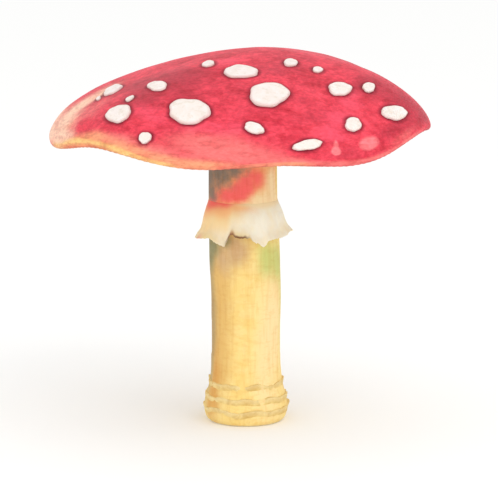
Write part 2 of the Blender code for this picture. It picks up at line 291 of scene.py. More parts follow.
cap = {
    "radius": 0.0742,
    "shift": -0.0023,
    "crownShift": 0.0085,
    "undersideShift": 0.0011,
    "marginLevel": 0.1154,
    "crownHeight": 0.0318,
    "shoulder": 1.73,
    "dome": 1.56,
    "lipRadius": 0.0018,
    "lipTurn": 110,
    "lipReach": 0.95,  # the lip lies outside this
    "lipSweep": 0.02,  # how far the sweep runs past 1 on the lip
    "undersideShare": 0.57,
    "undersideReach": 0.94,
    "undersideSweep": 1.2,
    "skinShare": 0.9,  # of the crown's height, below which a point is on the underside
    "neckReach": 0.22,
    "waves": (  # lobes round the margin, height, bearing of the crest in degrees
        (1, 0.0025, 53), (2, 0.0013, 29), (3, 0.0010, -23),
        (4, 0.0005, -22), (5, 0.0005, 32), (6, 0.0020, -18)),
    "segments": 340,
    "crownRows": 120,
    "lipRows": 7,
    "undersideRows": 26,
    "swells": ((0.00035, 32), (0.00012, 110)),
    "striation": 0.00009,  # fine grooves near the margin
    "striations": 170,
    "striationSweeps": (0.86, 0.98),
    "striationStray": ((3, 60),),
    "scarDepth": 0.0003,
    "fleshSweeps": (1.03, 1.12),  # where the skin gives way to pale flesh
    "clouds": (70.0, 3.6),  # scale and stretch of the mottle
    "flecks": (330.0, 2.4),
    "fleckShare": 0.45,
    "streaks": (0.5, 1.0, 0.26),  # the span of the mottle that darkens, and how much
    "wartShadowBreak": (0.65, 1.0),  # how broken the painted shadow round a wart is
    "grain": (0.90, 1.08),
    "bump": (0.0001, 0.6),
    "shader": {
        "Roughness": 0.5,
        "IOR": 1.28,
        "Specular IOR Level": 0.25,
        "Coat Weight": 0.02,
        "Coat Roughness": 0.25,
        "Subsurface Weight": 0.05,
        "Subsurface Radius": (1.0, 0.25, 0.2),
        "Subsurface Scale": 0.002,
    },
    "colours": {
        "deep": (196, 44, 62),
        "bright": (247, 80, 98),
        "streak": (182, 40, 58),
        # painted shadow round each wart
        "wartShadow": (122, 24, 42),
        "flesh": (250, 236, 208),
    },
    # patches are (bearing in degrees, sweep, spread in degrees, spread in sweep, strength)
    "washes": {
        # partly painted shade on the cap's top-left and right flank, partly darker patches of the
        # skin's own tone
        "shadeAndDarkTone": {
            "colour": (186, 54, 70), "fray": 1.1, "cover": 0.95,
            "patches": (
                (224, 0.46, 16, 0.10, 0.8), (233, 0.385, 14, 0.09, 0.6), (226, 0.60, 12, 0.07, 0.7),
                (216, 0.40, 14, 0.08, 0.6), (239, 0.525, 12, 0.07, 0.5), (306, 0.21, 36, 0.08, 0.6),
                (268, 0.44, 14, 0.05, 0.4), (278, 0.306, 26, 0.06, 0.5),
                (332, 0.525, 13, 0.10, 0.9), (338, 0.72, 10, 0.12, 1.0), (343, 0.88, 9, 0.10, 0.9),
                (322, 0.83, 9, 0.07, 0.6), (303, 0.90, 9, 0.07, 0.4), (330, 0.93, 8, 0.06, 0.25),
                (206, 0.52, 12, 0.09, 0.6), (294, 0.64, 9, 0.06, 0.5), (290, 0.54, 8, 0.05, 0.45),
                (20, 0.50, 22, 0.12, 0.8), (75, 0.35, 26, 0.10, 0.7), (110, 0.70, 20, 0.09, 0.8),
                (150, 0.45, 22, 0.10, 0.7),
            )},
        # partly a painted highlight band on the front-right, partly paler patches of the skin's own
        # tone
        "sheenAndPaleTone": {
            "colour": (245, 84, 106), "fray": 0.9, "cover": 0.8,
            "patches": (
                (238, 0.24, 14, 0.05, 0.8), (314, 0.56, 7, 0.07, 0.9), (304, 0.66, 7, 0.07, 0.9),
                (298, 0.76, 7, 0.07, 0.8), (236, 0.67, 9, 0.06, 0.7), (274, 0.59, 12, 0.06, 0.4),
                (222, 0.72, 8, 0.05, 0.6), (262, 0.70, 14, 0.06, 0.8), (52, 0.62, 12, 0.09, 0.8),
                (96, 0.52, 14, 0.08, 0.7), (135, 0.62, 12, 0.08, 0.8),
            )},
        # paler coral towards the margin all round, with a painted highlight on the lower front
        "coralToneAndHighlight": {
            "colour": (242, 118, 116), "fray": 0.8, "softness": 0.48,
            "patches": (
                (263, 0.86, 11, 0.11, 1.0), (273, 0.91, 10, 0.08, 0.9), (256, 0.79, 9, 0.07, 0.7),
                (283, 0.98, 9, 0.05, 1.0), (296, 1.0, 11, 0.035, 0.9), (314, 1.01, 13, 0.032, 0.9),
                (331, 1.01, 9, 0.03, 0.8), (243, 0.90, 10, 0.06, 0.9), (326, 0.93, 9, 0.05, 0.45),
                (230, 0.89, 9, 0.055, 0.9), (206, 0.78, 9, 0.07, 0.8), (202, 0.66, 7, 0.08, 0.7),
                (20, 0.98, 20, 0.04, 0.8), (60, 0.96, 22, 0.05, 0.9), (100, 0.95, 22, 0.05, 0.9),
                (140, 0.96, 22, 0.05, 0.8),
            )},
        "orangeWash": {
            "colour": (244, 158, 120), "fray": 0.7, "softness": 0.48,
            "patches": (
                (260, 0.98, 9, 0.055, 1.0), (250, 0.97, 10, 0.055, 1.0), (238, 0.94, 10, 0.05, 0.9),
                (275, 1.02, 8, 0.025, 0.7), (285, 1.02, 8, 0.035, 0.8), (197, 0.83, 8, 0.08, 0.8),
                (222, 0.90, 9, 0.045, 0.9), (70, 1.01, 14, 0.03, 0.8), (120, 1.01, 16, 0.03, 0.8),
            )},
        "goldWash": {
            "colour": (248, 198, 128), "fray": 0.6, "softness": 0.46,
            "patches": (
                (199, 0.99, 6, 0.05, 0.9), (206, 0.965, 7, 0.045, 1.1), (215, 0.965, 8, 0.045, 1.1),
                (226, 0.98, 8, 0.04, 1.1), (237, 1.0, 8, 0.035, 1.1), (247, 1.02, 6, 0.03, 0.9),
                (160, 0.99, 12, 0.05, 0.8), (95, 1.03, 10, 0.03, 0.6),
            )},
        "paleWash": {
            "colour": (252, 204, 176), "fray": 0.8, "softness": 0.48,
            "patches": (
                (200, 0.90, 8, 0.08, 1.0), (192, 0.82, 8, 0.10, 1.0), (187, 0.70, 7, 0.10, 0.9),
                (186, 0.58, 7, 0.08, 0.7), (188, 0.93, 9, 0.10, 1.0), (174, 0.86, 10, 0.10, 0.9),
                (205, 0.90, 6, 0.05, 0.7),
            )},
        "rimGold": {
            "colour": (214, 128, 74), "softness": 0.5, "fray": 0.9, "scale": 160.0, "cover": 0.8,
            "patches": (
                (222, 1.022, 34, 0.008, 0.9), (160, 1.022, 30, 0.008, 0.8),
                (95, 1.022, 30, 0.008, 0.8),
            )},
        "rimRed": {
            "colour": (196, 62, 66), "softness": 0.5, "fray": 0.9, "scale": 160.0, "cover": 0.8,
            "patches": (
                (285, 1.022, 34, 0.008, 0.8), (330, 1.022, 30, 0.010, 0.9),
                (20, 1.022, 40, 0.008, 0.8),
            )},
        "redPatch": {
            "colour": (228, 62, 80), "fray": 0.7, "softness": 0.3, "scale": 240.0,
            "patches": (
                (213, 0.815, 5.0, 0.055, 1.0), (209, 0.77, 4.0, 0.04, 0.8),
            )},
        "scar": {
            "colour": (252, 130, 134), "fray": 0.25, "softness": 0.16, "scale": 400.0, "cover": 0.9,
            "patches": (
                (311.5, 0.85, 4.6, 0.060, 1.0), (299, 0.875, 1.9, 0.042, 1.0),
                (299.4, 0.815, 1.0, 0.035, 0.8),
            )},
    },
}


def marginRise(bearing):
    return sum(height * math.cos(lobes * (bearing - math.radians(crest)))
               for lobes, height, crest in cap["waves"])


def crownRise(reach):
    return cap["crownHeight"] * max(0, 1 - reach ** cap["shoulder"]) ** (1 / cap["dome"])


def undersideRise(reach):  # flat above the stem
    return cap["undersideShare"] * crownRise(max(reach, cap["neckReach"])) - cap["lipRadius"]


def settle(point):  # from a round, level cap to the leaning, wavy one
    reach = radiusOf(point) / cap["radius"]
    floor = undersideRise(reach)
    share = min(max((point.z - floor) / (crownRise(reach) - floor), 0), 1)
    lean = cap["undersideShift"] + (cap["crownShift"] - cap["undersideShift"]) * share
    across = point.x + cap["shift"] + lean * (1 - reach ** 2)
    height = point.z + cap["marginLevel"] + marginRise(bearingOf(point)) * reach ** 2
    return Vector((across, point.y, height))


def sweepOf(point):  # just past 1 on the lip, well past it on the underside
    reach = min(radiusOf(point) / cap["radius"], 1)
    if point.z < tiny and reach > cap["lipReach"]:
        return 1 - cap["lipSweep"] * point.z / cap["lipRadius"]
    if point.z < cap["skinShare"] * crownRise(reach):
        return cap["undersideSweep"]
    return math.asin(reach ** (cap["shoulder"] / 2)) / (math.pi / 2)


def makeCap():
    profile = [(0, cap["crownHeight"])]
    for row in range(1, cap["crownRows"] + 1):
        reach = math.sin(math.pi / 2 * row / cap["crownRows"]) ** (2 / cap["shoulder"])
        profile.append((cap["radius"] * reach, crownRise(reach)))
    for row in range(1, cap["lipRows"] + 1):
        turn = math.radians(cap["lipTurn"]) * row / cap["lipRows"]
        radius = cap["radius"] - cap["lipRadius"] + cap["lipRadius"] * math.cos(turn)
        profile.append((radius, -cap["lipRadius"] * math.sin(turn)))
    for row in range(cap["undersideRows"] + 1):
        inward = (cap["neckReach"] - cap["undersideReach"]) * row / cap["undersideRows"]
        reach = cap["undersideReach"] + inward
        profile.append((cap["radius"] * reach, undersideRise(reach)))
    profile.append((0, undersideRise(0)))
    mesh = turnProfile(profile, cap["segments"])
    layWashes(mesh, cap["washes"], lambda point: (math.degrees(bearingOf(point)), sweepOf(point)))
    under = mesh.verts.layers.float.new("under")
    scar = mesh.verts.layers.float["scar"]
    places = [(vert, bearingOf(vert.co), sweepOf(vert.co)) for vert in mesh.verts]
    for vert, _, sweep in places:
        vert[under] = smoothStep(sweep, *cap["fleshSweeps"])
        vert.co = settle(vert.co)
    mesh.normal_update()
    normals = [vert.normal.copy() for vert in mesh.verts]
    for (vert, bearing, sweep), normal in zip(places, normals):
        if sweep < cap["undersideSweep"]:
            swell = ripples(cap["swells"], vert.co)
            turn = cap["striations"] * bearing + ripples(cap["striationStray"], vert.co)
            groove = cap["striation"] * smoothStep(sweep, *cap["striationSweeps"]) * math.cos(turn)
            dent = cap["scarDepth"] * min(vert[scar], 1)
            vert.co += normal * (swell + groove - dent)
    return mesh


def makeCapLook():
    look, tree, shader, colours, place = startLook("capSkin", cap)
    mottle = addMottle(tree, place, *cap["clouds"])
    fleck = addMottle(tree, place, *cap["flecks"])
    cloud = addMath(tree, "MULTIPLY", mottle["Blotch"], 1 - cap["fleckShare"])
    cloud = addMath(tree, "MULTIPLY_ADD", fleck["Blotch"], cap["fleckShare"], cloud)
    colour = mixColour(tree, cloud, colours["deep"], colours["bright"])
    colour = washOver(tree, colour, cap["washes"], place)
    streak = maskOf(tree, mottle["Streak"], *cap["streaks"])
    colour = mixColour(tree, streak, colour, colours["streak"], "MULTIPLY")
    wartShadowStrength = mapRange(tree, readLayer(tree, "wartEdge"), 0.0, 1.0, 1.0, 0.0)  # painted shadow round each wart, strongest at the wart
    broken = mapRange(tree, fleck["Blotch"], 0.0, 1.0, *cap["wartShadowBreak"])
    colour = mixColour(tree, addMath(tree, "MULTIPLY", wartShadowStrength, broken), colour, colours["wartShadow"])
    grain = mapRange(tree, fleck["Streak"], 0.0, 1.0, *cap["grain"])
    grey = addNode(tree, "ShaderNodeCombineColor", {"Red": grain, "Green": grain, "Blue": grain})
    colour = mixColour(tree, 1.0, colour, grey.outputs[0], "MULTIPLY")
    colour = mixColour(tree, readLayer(tree, "under"), colour, colours["flesh"])
    endLook(tree, shader, colour, mottle["Grain"], *cap["bump"])
    return look


# warts: felty flakes left of the veil, each laid over the cap where the frame has it

warts = {
    "bed": 0.0004,  # how far a wart is sunk into the skin
    "heart": 0.03,  # how far under the margin's level the point lies that the warts face away from
    "thickness": 0.0005,
    "thicknessShare": 0.035,  # of its width, added to the thickness
    "plateau": 2.2,  # above 1 flattens the top
    "crown": 0.14,  # share of the thickness left for the middle to rise by
    "ridges": ((0.12, 210),),
    "felt": 0.00016,
    "crumbs": ((1, 420), (0.6, 900)),
    "softening": 0.25,
    "ragged": 0.05,  # unevenness of the outline
    "lobes": ((2, 1), (3, 0.9), (5, 0.55), (8, 0.4)),  # waves round the outline, strength
    "large": 0.0105,  # a wart longer than this has a finer mesh
    "fineness": (4, 5),
    "rimFrom": 0.80,  # share of the way out where the painted shade along the rim starts
    "wartShadowWidth": 0.0021,
    "mottle": (260.0, 1.0),
    "shading": 0.55,
    "crumbTint": (0.62, 0.95, 0.35),
    "rimShadeShare": 0.40,
    "bump": (0.00012, 0.8),
    "shader": {
        "Roughness": 0.9,
        "Specular IOR Level": 0.15,
        "Subsurface Weight": 0.08,
        "Subsurface Radius": (1.0, 0.8, 0.7),
        "Subsurface Scale": 0.001,
        "Sheen Weight": 0.15,
        "Sheen Roughness": 0.6,
    },
    "colours": {
        "felt": (254, 243, 238),
        "shade": (243, 229, 216),
        "crumb": (226, 212, 192),
        # painted shade along each wart's rim
        "edge": (214, 150, 146),
    },
}


def measureWarts():  # where each wart lies in the frame, how it is turned, and its length and width
    found = []
    for name in sorted(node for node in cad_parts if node.startswith("wart_")):
        points = np.array([vert.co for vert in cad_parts[name].data.vertices])
        points = np.unique(points.round(6), axis=0)
        middle = (points.min(0) + points.max(0)) / 2
        spread = np.linalg.eigh(np.cov((points - points.mean(0)).T))[1]
        longWay, shortWay = Vector(spread[:, 2]), Vector(spread[:, 1])
        outward = Vector(middle) - Vector((cap["shift"], 0, cap["marginLevel"] - warts["heart"]))
        if longWay.cross(shortWay).dot(outward) < 0:
            shortWay = -shortWay
        chance = random.Random(name)
        found.append({
            "name": name,
            "middle": Vector(middle),
            "longWay": longWay,
            "shortWay": shortWay,
            "length": 2 * float(np.abs((points - middle) @ spread[:, 2]).max()),
            "width": 2 * float(np.abs((points - middle) @ spread[:, 1]).max()),
            "turns": [chance.uniform(0, math.tau) for _ in warts["lobes"]],
        })
    return found


def wartOutline(wart, angle):  # how far the edge stands off its oval
    waves = sum(strength * math.cos(count * angle + turn)
                for (count, strength), turn in zip(warts["lobes"], wart["turns"]))
    return 1 + warts["ragged"] * waves


def makeWart(wart, skin):
    mesh = bmesh.new()
    fineness = warts["fineness"][wart["length"] > warts["large"]]
    bmesh.ops.create_icosphere(mesh, subdivisions=fineness, radius=1)
    edge = mesh.verts.layers.float.new("edge")
    thickness = warts["thickness"] + warts["thicknessShare"] * wart["width"]
    for vert in mesh.verts:
        unit = vert.co.copy()
        stretch = wartOutline(wart, bearingOf(unit))
        flat = wart["middle"] + wart["longWay"] * (unit.x * stretch * wart["length"] / 2)
        flat += wart["shortWay"] * (unit.y * stretch * wart["width"] / 2)
        surface, normal = skin.find_nearest(flat)[:2]
        vert[edge] = smoothStep(radiusOf(unit), warts["rimFrom"], 1.0)
        if unit.z > 0:
            top = 1 - (1 - min(unit.z * warts["plateau"], 1)) ** 2
            lift = 1 - warts["crown"] + ripples(warts["ridges"], flat) + warts["crown"] * unit.z
            crumbs = warts["felt"] * ripples(warts["crumbs"], flat) * min(2 * unit.z, 1)
            lift = thickness * top * lift + crumbs
        else:
            lift = warts["bed"] * unit.z
        vert.co = surface + normal * lift
    bmesh.ops.smooth_vert(mesh, verts=mesh.verts, factor=warts["softening"],
                          use_axis_x=True, use_axis_y=True, use_axis_z=True)
    return mesh


def makeWartLook():
    look, tree, shader, colours, place = startLook("wartFelt", warts)
    mottle = addMottle(tree, place, *warts["mottle"])
    shade = addMath(tree, "MULTIPLY", mottle["Blotch"], warts["shading"])
    colour = mixColour(tree, shade, colours["felt"], colours["shade"])
    crumb = maskOf(tree, mottle["Streak"], *warts["crumbTint"])
    colour = mixColour(tree, crumb, colour, colours["crumb"])
    # the rim darkened towards pink: painted shade along the wart's edge
    edge = addMath(tree, "MULTIPLY", readLayer(tree, "edge"), warts["rimShadeShare"])
    colour = mixColour(tree, edge, colour, colours["edge"])
    endLook(tree, shader, colour, mottle["Grain"], *warts["bump"])
    return look


def markWartShadows(piece, found):  # distance from the nearest wart's edge, for the painted shadow round it
    points = np.empty(len(piece.data.vertices) * 3)
    piece.data.vertices.foreach_get("co", points)
    points = points.reshape(-1, 3)
    nearest = np.ones(len(points))
    for wart in found:
        off = points - np.array(wart["middle"])
        close = np.flatnonzero((off ** 2).sum(1) < wart["length"] ** 2)
        for number in close:
            here = Vector(off[number])
            along, across = here.dot(wart["longWay"]), here.dot(wart["shortWay"])
            oval = math.hypot(along / wart["length"], across / wart["width"]) * 2
            angle = math.atan2(across / wart["width"], along / wart["length"])
            size = math.hypot(along, across) / max(oval, tiny)
            gap = (oval - wartOutline(wart, angle)) * size
            nearest[number] = min(nearest[number], max(gap / warts["wartShadowWidth"], 0))
    layer = piece.data.attributes.new("wartEdge", "FLOAT", "POINT")
    layer.data.foreach_set("value", nearest.astype(np.float32))


wartPlaces = measureWarts()
capMesh = makeCap()
skinTree = BVHTree.FromBMesh(capMesh)
capPiece = keepPiece("capDome", capMesh, makeCapLook(), ["cap"])
markWartShadows(capPiece, wartPlaces)
print("cap:", len(capPiece.data.polygons), "faces")

wartLook = makeWartLook()
for wart in wartPlaces:
    flake = makeWart(wart, skinTree)
    keepPiece("flake" + wart["name"][-2:], flake, wartLook, [wart["name"]])
print("warts:", len(wartPlaces))


# gills: thin crowded blades, a long one and a short one in turn, free of the stem

gills = {
    "pairs": 118,
    "innerReach": 0.255,
    "innerStray": 0.012,
    "outerReach": 0.955,
    "shortStarts": (0.50, 0.84),  # reaches between which a short blade starts
    "shortDepth": 0.85,
    "shortRamp": (-0.03, 0.10),  # reach over which a short blade comes to its depth
    "deepestReach": 0.45,
    "depth": 0.0098,
    "rounding": 0.28,
    "thickness": 0.00042,
    "root": 0.0008,  # how far a blade is sunk into the flesh
    "uneven": 0.12,  # share of the space between blades that one may be off by
    "wander": 0.45,  # degrees
    "bends": 9,
    "steps": (9, 2),  # along a blade and down it
    "seed": 11,
    "mottle": (160.0, 0.4),
    "shine": 0.5,
    "bump": (0.00006, 0.5),
    "shader": {
        "Roughness": 0.6,
        "Specular IOR Level": 0.25,
        "Subsurface Weight": 0.12,
        "Subsurface Radius": (1.0, 0.8, 0.5),
        "Subsurface Scale": 0.0015,
    },
    "colours": {
        "blade": (252, 241, 216),
        "root": (244, 221, 180),
        "edge": (255, 248, 232),
    },
}


def gillDepth(reach):
    if reach > gills["deepestReach"]:
        out = (reach - gills["deepestReach"]) / (1 - gills["deepestReach"])
    else:
        out = (gills["deepestReach"] - reach) / gills["rounding"]
    return gills["depth"] * max(0, 1 - out ** 2)


def makeGills():
    mesh = bmesh.new()
    drop = mesh.verts.layers.float.new("drop")
    chance = random.Random(gills["seed"])
    blades = 2 * gills["pairs"]
    for number in range(blades):
        short = number % 2
        if short:
            start = chance.uniform(*gills["shortStarts"])
        else:
            start = gills["innerReach"] + chance.uniform(0, gills["innerStray"])
        middle = math.tau * (number + chance.uniform(-gills["uneven"], gills["uneven"])) / blades
        sway = chance.uniform(0, math.tau)
        along, deep = gills["steps"]
        blade = bmesh.ops.create_grid(mesh, x_segments=along, y_segments=deep, size=0.5)
        for vert in blade["verts"]:
            reach = start + (gills["outerReach"] - start) * (vert.co.x + 0.5)
            down = vert.co.y + 0.5
            depth = gillDepth(reach)
            if short:
                before, after = gills["shortRamp"]
                depth *= gills["shortDepth"] * smoothStep(reach, start + before, start + after)
            bend = math.sin(gills["bends"] * reach + sway) * down
            bearing = middle + math.radians(gills["wander"]) * bend
            height = undersideRise(reach) + gills["root"] - down * (depth + gills["root"])
            vert[drop] = down
            radius = cap["radius"] * reach
            vert.co = settle(Vector((radius * math.cos(bearing), radius * math.sin(bearing), height)))
    bmesh.ops.solidify(mesh, geom=mesh.faces[:], thickness=gills["thickness"])
    return mesh


def makeGillLook():
    look, tree, shader, colours, place = startLook("gillCream", gills)
    mottle = addMottle(tree, place, *gills["mottle"])
    colour = mixColour(tree, readLayer(tree, "drop"), colours["root"], colours["blade"])
    shine = addMath(tree, "MULTIPLY", mottle["Blotch"], gills["shine"])
    colour = mixColour(tree, shine, colour, colours["edge"])
    endLook(tree, shader, colour, mottle["Grain"], *gills["bump"])
    return look


keepPiece("gillBlades", makeGills(), makeGillLook(), ["gills"], 40)
print("gills:", 2 * gills["pairs"], "blades")


# stem: a leaning column of fibres that swells at its trimmed foot

stem = {
    "outline": (  # height, radius
        (0.0000, 0.0142), (0.0012, 0.0155), (0.0045, 0.0164), (0.0090, 0.0160), (0.0150, 0.0144),
        (0.0230, 0.0136), (0.0400, 0.0135), (0.0600, 0.0139), (0.0700, 0.0139), (0.0860, 0.0135),
        (0.1050, 0.0134), (0.1200, 0.0139), (0.1306, 0.0152)),
    "cutRings": (0.004, 0.008, 0.012),  # radii of the points on the cut face
    "cutEdge": 0.0007,  # how far up the cut's pale tint runs
    "lean": -0.0012,
    "leanHeights": (0.045, 0.095),
    "top": 0.1306,
    "segments": 176,
    "rows": 150,
    "crowding": 1.08,  # above 1 draws the rows towards the foot
    "roughRadius": 0.0135,  # points inside this stay smooth
    "roughTop": 0.1305,
    "swells": ((0.00022, 90),),
    "fibre": 0.00011,
    "fibres": ((1, 9, 26), (0.6, 21, 60)),  # strength, fineness round the stem and up it
    "mottle": (150.0, 3.0),
    "threads": (420.0, 0.10),
    "fibreTint": (0.4, 1.0, 0.16),
    "lineTint": (0.5, 0.0, 0.14),
    "bump": (0.00016, 0.5),
    "shader": {
        "Roughness": 0.66,
        "Specular IOR Level": 0.2,
        "Subsurface Weight": 0.08,
        "Subsurface Radius": (1.0, 0.7, 0.4),
        "Subsurface Scale": 0.002,
    },
    "colours": {
        "flesh": (246, 213, 130),
        "pale": (250, 223, 150),
        "fibre": (228, 184, 100),
        "cut": (250, 238, 210),
    },
    # patches are (bearing in degrees, height, spread in degrees, spread in height, strength)
    "washes": {
        # darker ochre, partly painted shade on the stem's left half, partly the stem's own tone round
        # the back
        "ochreToneAndShade": {
            "colour": (228, 184, 108), "softness": 0.5, "fray": 0.8, "cover": 0.9,
            "patches": (
                (220, 0.055, 28, 0.026, 1.0), (220, 0.030, 26, 0.020, 0.9),
                (60, 0.04, 30, 0.03, 0.8), (130, 0.03, 24, 0.03, 0.7),
            )},
        # painted light on the stem's right side
        "rightSideLight": {
            "colour": (250, 222, 164), "softness": 0.5, "fray": 0.7,
            "patches": (
                (322, 0.040, 28, 0.026, 1.0), (300, 0.02, 20, 0.02, 0.7),
            )},
        # painted shade down the stem's left side
        "leftSideShade": {
            "colour": (184, 156, 108), "softness": 0.5, "fray": 0.7,
            "patches": (
                (188, 0.052, 22, 0.026, 1.0), (188, 0.030, 20, 0.02, 0.9),
                (165, 0.05, 22, 0.04, 0.8),
            )},
        "lowAmber": {
            "colour": (222, 168, 92), "softness": 0.5, "fray": 0.8,
            "patches": (
                (211, 0.018, 13, 0.012, 1.0), (214, 0.008, 16, 0.008, 0.7),
                (20, 0.012, 30, 0.010, 0.7), (110, 0.012, 30, 0.010, 0.7),
            )},
        "ringShade": {
            "colour": (212, 176, 130), "softness": 0.5, "fray": 0.8,
            "patches": (
                (258, 0.0700, 26, 0.0065, 1.1), (232, 0.0665, 18, 0.006, 0.9),
                (90, 0.070, 50, 0.007, 0.9),
            )},
        "greenTinge": {
            "colour": (206, 206, 124), "softness": 0.5, "fray": 0.8,
            "patches": (
                (308, 0.0670, 20, 0.0075, 1.0), (336, 0.064, 18, 0.008, 0.9),
                (350, 0.05, 10, 0.010, 0.5), (20, 0.066, 30, 0.008, 0.8),
            )},
        "mossShade": {
            "colour": (150, 146, 106), "softness": 0.5, "fray": 0.9,
            "patches": (
                (194, 0.0690, 16, 0.0085, 1.1), (212, 0.0715, 16, 0.005, 0.9),
                (238, 0.0735, 12, 0.003, 0.7), (150, 0.069, 25, 0.007, 0.9),
            )},
        # painted shade and reflected orange from the cap, on the neck under it
        "capOrangeShade": {
            "colour": (250, 168, 112), "softness": 0.5, "fray": 0.4,
            "patches": (
                (300, 0.1000, 90, 0.0085, 1.0), (220, 0.0960, 60, 0.0080, 1.0),
                (120, 0.1000, 70, 0.0090, 1.0), (30, 0.1000, 60, 0.0085, 1.0),
                (300, 0.115, 120, 0.012, 1.0), (120, 0.115, 120, 0.012, 1.0),
            )},
        "neckPeach": {
            "colour": (255, 224, 176), "softness": 0.5, "fray": 0.5,
            "patches": (
                (300, 0.0880, 40, 0.0042, 1.0), (340, 0.0890, 34, 0.0055, 1.0),
                (326, 0.0968, 18, 0.0058, 0.95), (30, 0.0885, 40, 0.004, 0.9),
                (100, 0.0880, 50, 0.004, 0.9),
            )},
        # painted reflection of the red cap on the neck
        "capRedReflection": {
            "colour": (255, 108, 104), "softness": 0.5, "fray": 1.0, "scale": 170.0,
            "patches": (
                (294, 0.0985, 16, 0.0042, 0.75), (279, 0.0960, 19, 0.0044, 1.0),
                (262, 0.0932, 19, 0.0042, 1.0), (239, 0.0908, 19, 0.0036, 1.0),
                (213, 0.0890, 17, 0.0034, 0.9), (286, 0.110, 28, 0.006, 0.7),
                (130, 0.098, 30, 0.006, 0.7),
            )},
        "umberShade": {
            "colour": (136, 118, 104), "softness": 0.5, "fray": 1.2, "scale": 220.0,
            "patches": (
                (207, 0.0915, 12, 0.0038, 0.8), (198, 0.0985, 26, 0.0078, 1.0),
                (228, 0.1000, 24, 0.0062, 0.95), (254, 0.1025, 22, 0.0045, 0.8),
                (188, 0.0925, 14, 0.005, 0.8), (220, 0.112, 60, 0.010, 0.9),
                (150, 0.104, 30, 0.010, 0.8),
            )},
        "citronEdge": {
            "colour": (246, 212, 124), "softness": 0.5, "fray": 0.4,
            "patches": (
                (354, 0.097, 14, 0.010, 1.0),
            )},
    },
}


def stemLean(height):
    return stem["lean"] * smoothStep(height, *stem["leanHeights"])


def stemRadius(height):
    return readCurve(stem["outline"], height)


def makeStem():
    profile = [(radius, 0) for radius in (0, *stem["cutRings"])]
    for row in range(stem["rows"] + 1):
        height = stem["top"] * (row / stem["rows"]) ** stem["crowding"]
        profile.append((stemRadius(height), height))
    profile.append((0, stem["top"]))
    mesh = turnProfile(profile, stem["segments"])
    layWashes(mesh, stem["washes"], lambda point: (math.degrees(bearingOf(point)), point.z))
    cut = mesh.verts.layers.float.new("cutFace")
    for vert in mesh.verts:
        radius, height = radiusOf(vert.co), vert.co.z
        vert[cut] = 1 - smoothStep(height, 0.0, stem["cutEdge"])
        if radius > stem["roughRadius"] and 0 < height < stem["roughTop"]:
            outward = Vector((vert.co.x / radius, vert.co.y / radius, 0))
            fibres = 0
            for strength, around, up in stem["fibres"]:
                place = Vector((outward.x * around, outward.y * around, height * up))
                fibres += strength * noise.noise(place)
            vert.co += outward * (ripples(stem["swells"], vert.co) + stem["fibre"] * fibres)
        vert.co.x += stemLean(height)
    return mesh


def makeStemLook():
    look, tree, shader, colours, place = startLook("stemFlesh", stem)
    mottle = addMottle(tree, place, *stem["mottle"])
    threads = addMottle(tree, place, *stem["threads"])
    colour = mixColour(tree, mottle["Blotch"], colours["flesh"], colours["pale"])
    colour = washOver(tree, colour, stem["washes"], place)
    fibre = maskOf(tree, threads["Streak"], *stem["fibreTint"])
    colour = mixColour(tree, fibre, colour, colours["fibre"], "MULTIPLY")
    line = maskOf(tree, mottle["Streak"], *stem["lineTint"])
    colour = mixColour(tree, line, colour, colours["fibre"], "MULTIPLY")
    colour = mixColour(tree, readLayer(tree, "cutFace"), colour, colours["cut"])
    endLook(tree, shader, colour, threads["Streak"], *stem["bump"])
    return look


stemPiece = keepPiece("stemColumn", makeStem(), makeStemLook(), ["stem"])
print("stem:", len(stemPiece.data.polygons), "faces")


# ring: a thin skirt with soft pleats and a torn hem

